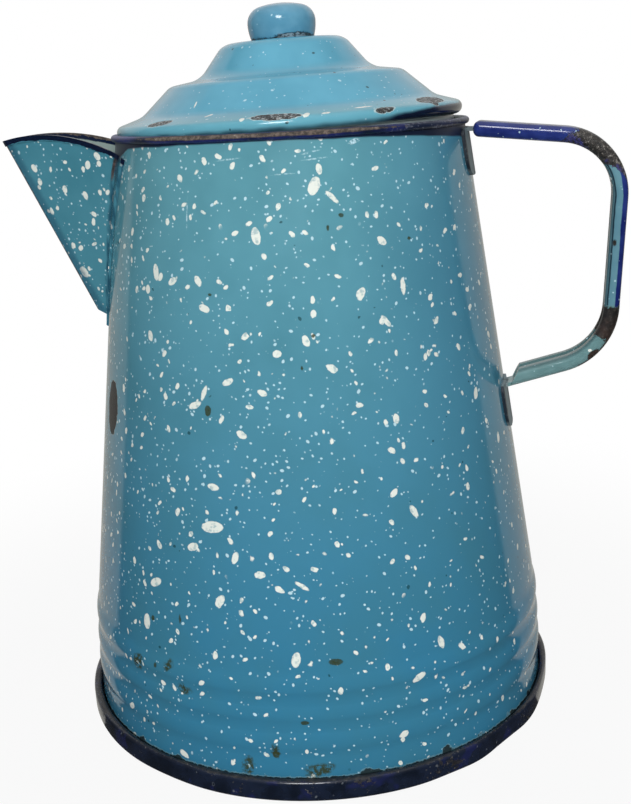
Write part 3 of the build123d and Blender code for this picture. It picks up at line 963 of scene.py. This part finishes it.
def collarEnamel(colours, look):
    paint = Paint("collarEnamel")
    cloud = paint.noise(9, 3, 0.6)
    grain = paint.noise(1.2, 4, 0.7)
    paint.colour = paint.patchy(cloud, *look["glazes"])
    dust = paint.spots(paint.warped(0.9, 0.14), 3.4, 0.3, 0.5, 1.3, 5.0)
    paint.lay(dust * 0.6, colours["low"])
    rubbed = look["edge"] - paint.z + (cloud - 0.5) * 3 + (grain - 0.5) * 2
    bare = wornEdge(paint, rubbed, grain, chipShades, colours["veil"])
    height = paint.noise(4.0, 1) * 0.02 - bare * (0.08 - (grain - 0.5) * 0.2)
    return paint.finish(look["gloss"] + bare * 0.35, height)


rivetLook = {
    "steel": (screen(120, 118, 114), screen(158, 156, 150)),
    "rust": screen(104, 70, 48),
    "gloss": 0.34,
}


def rivetSteel(look):
    paint = Paint("rivetSteel")
    grain = paint.noise(0.7, 4, 0.7)
    rusty = paint.noise(2.2, 3, 0.6).step(0.52, 0.64)
    paint.colour = paint.mix(grain.step(0.4, 0.6), *look["steel"])
    paint.lay(rusty, look["rust"])
    height = (grain + rusty) * 0.03
    return paint.finish(look["gloss"] + rusty * 0.35, height, 1 - rusty * 0.8)


def seatLid(form, settings):
    pivot = Vector(settings["leanLine"]) * mm
    lean = Matrix.Rotation(-math.radians(settings["lean"]), 4, "Y")
    move = Matrix.Translation(pivot) @ lean @ Matrix.Translation(-pivot)
    bmesh.ops.transform(form, matrix=move, verts=form.verts)


def buildLid(settings, material):
    form = bmesh.new()
    reach, roll = settings["rollReach"], settings["roll"]
    corners = drawLine(form, [(settings["lip"], -roll), (reach, -roll)])
    turn, segments = settings["rollTurn"], settings["rollSegments"]
    end = drawArc(form, corners[-1], (reach, 0), turn, segments)
    corners = drawLine(form, settings["corners"], end)
    for corner, bend in zip(corners[1:], settings["bends"]):
        roundCorner(form, corner, bend, settings["bendSegments"])
    bmesh.ops.translate(form, verts=form.verts, vec=upright * settings["brim"] * mm)
    turnRound(form, settings["steps"])
    thicken(form, settings["sheet"])
    seatLid(form, settings)
    makePiece("lidShell", form, "lid", ["lid_shell"], material)


def buildKnob(lid, settings, material):
    form = bmesh.new()
    end = drawLine(form, [(settings["turnIn"], 0), (settings["foot"], 0)])[-1]
    for part in ("side", "shoulder", "top"):
        end = drawArc(form, end, *settings[part])
    bmesh.ops.translate(form, verts=form.verts, vec=upright * knobStand(lid) * mm)
    turnRound(form, settings["steps"])
    thicken(form, settings["sheet"])
    seatLid(form, lid)
    makePiece("lidKnob", form, "lid", ["lid_knob"], material)


buildLid(lidSettings, lidEnamel(enamelColours, lidSettings, lidLook))
buildKnob(lidSettings, knobSettings, knobEnamel(enamelColours, lidSettings, knobLook))
collarMaterial = collarEnamel(enamelColours, collarLook)
dress("lid_collar", collarMaterial)
dress("knob_base", collarMaterial)
dress("knob_rivet", rivetSteel(rivetLook))
print("lid done")

# Spout: one sheet folded to a V, with a hemmed lip; it keeps its CAD mesh
spoutSettings = {
    "lipCentre": (-87.0, 154.7),
    "lipRadius": 60.0,
    "trim": 1.75,
    "tip": (-101.2, 213.0),
    "foldSlope": 0.4318,
    "middle": (-72.1, 151.4, -0.14),
    "glazes": (screen(76, 141, 159), screen(68, 133, 151)),
    "foldShadeAndWear": screen(30, 66, 96),
    "streak": screen(22, 62, 86),
    "rustFrom": 198.0,
    "rust": (screen(46, 38, 36), screen(92, 72, 66)),
    "paintedCornerShadeFrom": 204.5,
    "paintedCornerShade": screen(16, 26, 36),
    "inside": (screen(150, 165, 160), screen(122, 140, 136)),
    "spatter": 1.3,
    "gloss": 0.15,
}
# Drips on the near leaf: reach along X, height, half length, half width, tilt
spoutDrips = (
    (-90.6, 203.3, 1.5, 1.0, 115), (-89.3, 198.5, 1.3, 0.9, 95), (-79.9, 195.8, 1.4, 0.9, 92),
    (-72.3, 193.6, 1.5, 0.9, 105), (-65.7, 206.9, 1.5, 1.0, 115), (-65.4, 204.4, 1.0, 0.8, 90),
    (-63.9, 183.4, 1.4, 0.8, 105), (-63.7, 194.6, 1.0, 0.7, 60), (-77.4, 165.6, 2.2, 1.3, 115),
    (-80.1, 175.5, 1.1, 0.8, 100), (-77.3, 174.6, 1.1, 0.9, 60), (-71.7, 176.2, 1.1, 0.6, 25),
    (-86.5, 187.9, 1.3, 0.7, 105), (-84.2, 202.8, 1.0, 0.5, 80), (-78.2, 205.2, 0.8, 0.6, 0),
)


def spoutEnamel(colours, settings):
    paint = Paint("spoutEnamel")
    cloud = paint.noise(30, 3, 0.6)
    grain = paint.noise(1.2, 4, 0.7)
    sway = paint.noise(7, 2, 0.5) - 0.5
    paint.colour = paint.patchy(cloud, *settings["glazes"])
    little, big = spatter(paint, settings["spatter"])
    near = paint.y.step(-1.0, -1.6)
    drips = paint.marks(spoutDrips, paint.x, paint.z, 1.4, 0.25).step(-0.1, 0.12)
    big = big.larger(drips * near)
    paint.colour = spotted(paint, paint.colour, colours, little, big)
    # painted shade darkens the glaze along the fold, and its very edge is rubbed
    fold = paint.x - settings["tip"][0] + (paint.z - settings["tip"][1]) * settings["foldSlope"]
    foldShadeAndWear = grain - 0.5 + sway * 1.2 - fold
    paint.lay((foldShadeAndWear + 3.2).step(-1.6, 1.2) * 0.5, settings["foldShadeAndWear"])
    edge = wornEdge(paint, foldShadeAndWear + 0.55, grain - 0.04, chipShades, colours["pit"])
    # the flange is streaky and dark at its joints, with painted shade along its joint with the
    # wall
    joint = paint.radius - coneRadius(paint.z)
    seam = 1.7 - joint + sway * 1.6
    streak = paint.noise(3.0, 3, 0.6, paint.vector("MULTIPLY", paint.place, (1.0, 1.0, 0.12)))
    streak = streak.step(0.35, 0.62) * paint.z.step(148, 152)
    paint.lay(seam.step(-0.5, 0.6) * streak * 0.8, settings["streak"])
    corner = 0.55 - (joint - 1.5 - sway * 0.8).size()
    rust = (paint.z - settings["rustFrom"] + sway * 9).step(0.0, 3.0)
    rust = rust * corner.step(0.0, 0.3)
    brown = paint.mix(grain.step(0.4, 0.6), *settings["rust"])
    # painted shade in the top corner where the flange meets the wall under the rim
    paintedCornerShade = (paint.z - settings["paintedCornerShadeFrom"] + sway * 6).step(-1.5, 2.5)
    paintedCornerShade = paintedCornerShade * (joint + sway * 2).step(2.4, 1.4)
    paint.lay(paintedCornerShade * 0.85, settings["paintedCornerShade"])
    paint.lay(rust * 0.9, brown)
    # the inside of the channel is pale: its faces look towards a line up its middle
    centreX, centreZ, lean = settings["middle"]
    faceX, faceY = paint.split(paint.normal)[:2]
    middle = paint.x - centreX - (paint.z - centreZ) * lean
    inside = (faceX * middle + faceY * paint.y).step(-0.4, -1.2) * (1 - seam.step(0.0, 0.5))
    pale = paint.mix(cloud.step(0.4, 0.6) * 0.5, *settings["inside"])
    paint.lay(inside, spotted(paint, pale, colours, little, big))
    # the hem is navy, wavy at its lower edge, and worn brown along its top
    across = paint.x - settings["lipCentre"][0]
    high = paint.z - settings["lipCentre"][1]
    lip = (across * across + high * high).root() - settings["lipRadius"]
    trim = lip + settings["trim"] + sway * 1.5 + (grain - 0.5) * 0.5
    paint.lay(trim.step(-0.12, 0.12), colours["navy"])
    farLeaf = paint.y.step(-1.5, 2.5)
    rubbed = lip - 0.3 + sway * 2.4 + (grain - 0.5) * 1.4 + farLeaf * 0.9
    hem = wornEdge(paint, rubbed, grain - 0.06, rimShades, colours["navy"])
    bare = hem.larger(edge).larger(rust)
    height = paint.noise(4.2, 1) * 0.02 + paint.noise(24, 1) * 0.15
    height = height - bare * (0.06 - (grain - 0.5) * 0.2)
    return paint.finish(settings["gloss"] + bare * 0.3, height)


dress("spout", spoutEnamel(enamelColours, spoutSettings))
print("spout done")


# Handle: a pressed channel, cobalt and pale blue, worn to the iron where it bends
handleSettings = {
    "azimuth": -13.0,
    "grip": (110.3, 131.2, 0.055),
    "upperBend": (92.75, 185.5, 20.5),
    "lowerBend": (89.2, 148.1, 22.0),
    "leg": (95.2, 126.9, 0.274, -0.961),
    "upperFrom": (185.3, 185.7),
    "lowerFrom": (148.2, 147.8),
    "legFrom": (95.3, 95.1),
    "blueFrom": (147.0, 147.6),
}
handleLook = {
    "pale": (screen(92, 136, 152), screen(104, 148, 160)),
    "green": (screen(98, 134, 136), screen(112, 148, 150)),
    "blue": (screen(22, 34, 98), screen(40, 56, 124)),
    "curl": screen(74, 96, 98),
    "slot": screen(20, 32, 44),
    "tab": (screen(26, 36, 48), screen(128, 144, 148)),
    "tabLine": screen(30, 42, 50),
    "tabFlecks": screen(120, 130, 130),
    "tabSides": screen(14, 18, 22),
    "paintedGlints": screen(150, 170, 214),
    "halo": screen(64, 92, 100),
    "blueLeft": screen(44, 46, 116),
    "brown": screen(86, 64, 56),
    "gloss": 0.16,
}
# Chips and drips on the side: reach, height, half length, half width, tilt
handleChips = ((111.6, 169.6, 1.2, 0.6, 88), (105.2, 130.6, 2.6, 1.3, 50))
handleDrips = (
    (109.6, 190.8, 0.7, 0.6, 0), (110.2, 188.6, 0.6, 0.5, 90), (104.0, 132.2, 0.7, 0.5, 0),
)


def bendPlace(paint, reach, bend):
    # how far round a bend, in millimetres below its level middle, and how far out from its line
    across, high = reach - bend[0], paint.z - bend[1]
    along = high.math("ARCTAN2", across) * -bend[2]
    return along, (across * across + high * high).root() - bend[2]


def handleEnamel(colours, settings, look):
    paint = Paint("handleEnamel")
    swing = math.radians(settings["azimuth"])
    reach = paint.x * math.cos(swing) + paint.y * math.sin(swing)
    cloud = paint.noise(16, 3, 0.6)
    grain = paint.noise(1.1, 4, 0.7)
    sway = paint.noise(6, 3, 0.6) - 0.5
    upperRound, upperOut = bendPlace(paint, reach, settings["upperBend"])
    lowerRound, lowerOut = bendPlace(paint, reach, settings["lowerBend"])
    gripReach, gripHeight, gripSlope = settings["grip"]
    gripOut = reach - gripReach - (paint.z - gripHeight) * gripSlope
    legReach, legHeight, legAcross, legDown = settings["leg"]
    legOut = (reach - legReach) * legAcross + (paint.z - legHeight) * legDown
    onUpper = paint.z.step(*settings["upperFrom"])
    onLower = paint.z.step(*settings["lowerFrom"])
    onLeg = reach.step(*settings["legFrom"]) * onLower
    out = gripOut + (upperOut - gripOut) * onUpper + (lowerOut - gripOut) * onLower
    out = out + (legOut - out) * onLeg
    # pale blue on the grip, green on the lower leg, cobalt on the upper leg and the grip's back
    pale = paint.patchy(cloud, *look["pale"])
    green = paint.patchy(cloud, *look["green"])
    paint.colour = paint.mix(onLower, pale, green)
    curl = out + sway * 0.5
    paint.lay(curl.step(-1.5, -2.0) * 0.5, look["curl"])
    # a dark line along the grip: painted shade in the recess of the channel's slot
    slot = (curl + 1.6).size().step(0.34, 0.16) * (1 - onLower)
    paint.lay(slot * 0.9, look["slot"])
    blue = paint.mix(cloud.step(0.4, 0.6), *look["blue"])
    outer = (out + sway * 0.9).step(0.7, 1.0) * paint.z.step(*settings["blueFrom"])
    top = (upperRound + sway * 6).step(-13.0, -14.0) * onUpper
    paint.lay(outer.larger(top), blue)
    # the tabs and necks have a dark outline and a line along their middle, with pale flecks
    low = paint.z.step(170, 150)
    stand = paint.radius - coneRadius(paint.z)
    tab = (stand + low * 1.3).step(3.3, 2.9)
    flecks = grain.step(0.56, 0.66)
    across = (paint.y * math.cos(swing) - paint.x * math.sin(swing) + sway * 2).size()
    inner = across.step(9.6, 8.2) * (low * 0.2 + 0.8)
    dark = paint.mix(inner, *look["tab"])
    dark = paint.mix(across.step(1.2, 0.6) * 0.6, dark, look["tabLine"])
    dark = paint.mix(flecks * 0.6, dark, look["tabFlecks"])
    sides = paint.dot(paint.normal, paint.outward).size().step(0.9, 0.6)
    dark = paint.mix(sides * (0.4 - low * 0.2), dark, look["tabSides"])
    paint.lay(tab, dark)
    dust = paint.spots(paint.warped(0.8, 0.12), 2.2, 0.28, 0.6, 1.3, 1.0) * (1 - tab)
    paint.lay(dust * 0.75, colours["spot"])
    # painted glints: pale specks along the top bend's highlight line
    paintedGlints = grain.step(0.63, 0.70) * (upperOut + 0.6).size().step(1.6, 0.8) * top
    paint.lay(paintedGlints * 0.7, look["paintedGlints"])
    drips = paint.marks(handleDrips, reach, paint.z, 1.4, 0.1).step(-0.1, 0.12)
    paint.lay(drips, colours["cream"])
    # bare iron round both bends
    chips = paint.marks(handleChips, reach, paint.z, 1.8, 0.7, (0.0, 9.0, 0.0))
    waver = sway * 7 + (grain - 0.5) * 7
    upper = upperRound + 28.6 - upperOut * 1.2 + waver
    upper = upper.smaller(upperOut * 1.7 - upperRound - 9.0 + waver * 0.6)
    upper = upper * onUpper - (1 - onUpper)
    lower = (lowerRound - 0.6 + waver * 0.5).smaller(12.6 - lowerRound + waver * 0.7)
    heel = (lowerOut - 1.9 + waver * 0.12).smaller(24.0 - lowerRound + waver)
    lower = lower.larger(heel) * onLower - (1 - onLower)
    patches = (sway * 0.6 + grain * 0.4 - 0.36) * 8
    bare = upper.larger(lower).larger(chips).larger(patches)
    darker = grain + 0.05 - onLower * 0.12
    worn = wornEdge(paint, bare, darker, chipShades, look["halo"])
    left = cloud.step(0.54, 0.6) * grain.step(0.44, 0.54) * onUpper
    paint.lay(worn * left * 0.8, look["blueLeft"])
    paint.lay(worn * onLower * cloud.step(0.35, 0.6) * 0.6, look["brown"])
    height = paint.noise(3.6, 1) * 0.03 - worn * (0.06 - (grain - 0.5) * 0.2)
    return paint.finish(worn * 0.32 + look["gloss"] + tab * 0.42, height)


dress("handle", handleEnamel(enamelColours, handleSettings, handleLook))
print("handle done")
